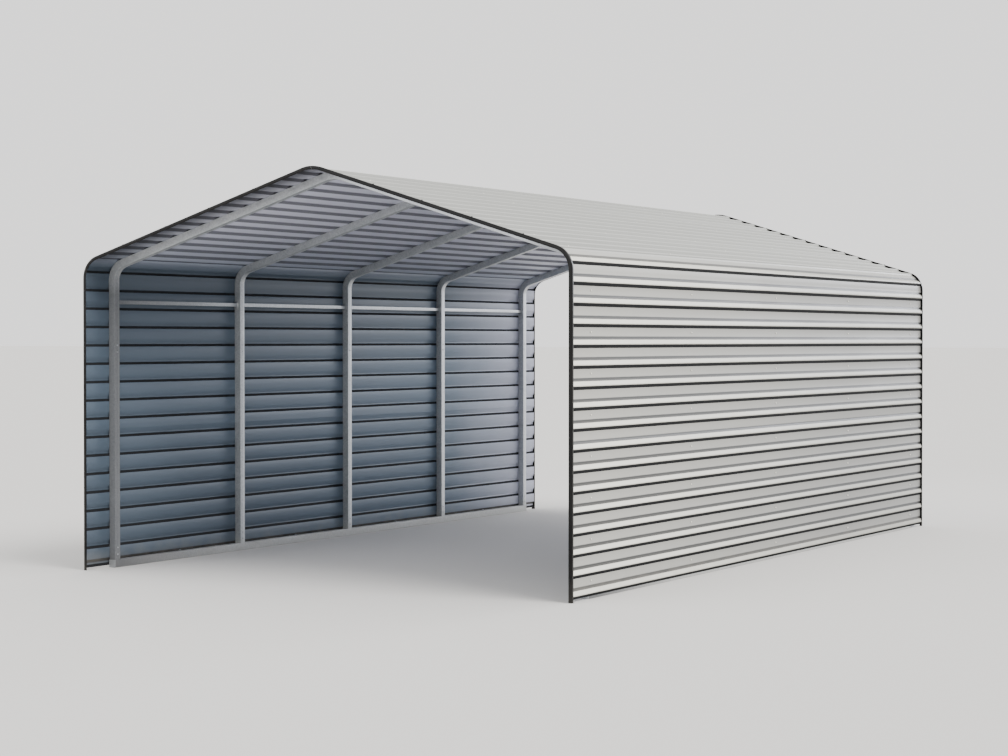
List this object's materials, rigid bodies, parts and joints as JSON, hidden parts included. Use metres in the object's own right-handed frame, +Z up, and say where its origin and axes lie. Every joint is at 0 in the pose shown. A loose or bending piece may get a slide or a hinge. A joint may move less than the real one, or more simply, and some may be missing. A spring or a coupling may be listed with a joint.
{
  "type": "carport",
  "caption": "Open-ended gabled shelter for parking a vehicle: ribbed sheet walls and roof wrapped over square-tube frames standing on ground rails.",
  "frame": {"origin": "centre of the footprint, on the ground", "axes": "+Z up, +Y along the ridge from the front opening to the rear opening, +X towards the right wall seen from the front"},
  "size_m": [3.6, 6, 2.56],
  "materials": {
    "sheet_cream": "satin",
    "frame_zinc": "satin",
    "trim_black": "satin",
    "cap_plastic": "matte"
  },
  "bodies": {
    "root": {"apex_1": "frame_zinc", "apex_2": "frame_zinc", "apex_3": "frame_zinc", "apex_4": "frame_zinc", "apex_5": "frame_zinc", "base_rail_left": "frame_zinc", "base_rail_right": "frame_zinc", "bow_left_1": "frame_zinc", "bow_left_2": "frame_zinc", "bow_left_3": "frame_zinc", "bow_left_4": "frame_zinc", "bow_left_5": "frame_zinc", "bow_right_1": "frame_zinc", "bow_right_2": "frame_zinc", "bow_right_3": "frame_zinc", "bow_right_4": "frame_zinc", "bow_right_5": "frame_zinc", "end_caps_left": "cap_plastic", "end_caps_right": "cap_plastic", "leg_left_1": "frame_zinc", "leg_left_2": "frame_zinc", "leg_left_3": "frame_zinc", "leg_left_4": "frame_zinc", "leg_left_5": "frame_zinc", "leg_right_1": "frame_zinc", "leg_right_2": "frame_zinc", "leg_right_3": "frame_zinc", "leg_right_4": "frame_zinc", "leg_right_5": "frame_zinc", "sheet_eave_left": "sheet_cream", "sheet_eave_right": "sheet_cream", "sheet_ridge": "sheet_cream", "sheet_roof_left": "sheet_cream", "sheet_roof_right": "sheet_cream", "sheet_wall_lower_left": "sheet_cream", "sheet_wall_lower_right": "sheet_cream", "sheet_wall_upper_left": "sheet_cream", "sheet_wall_upper_right": "sheet_cream", "side_rail_left": "frame_zinc", "side_rail_right": "frame_zinc", "trim_front_left": "trim_black", "trim_front_right": "trim_black", "trim_rear_left": "trim_black", "trim_rear_right": "trim_black"}
  },
  "joints": []
}
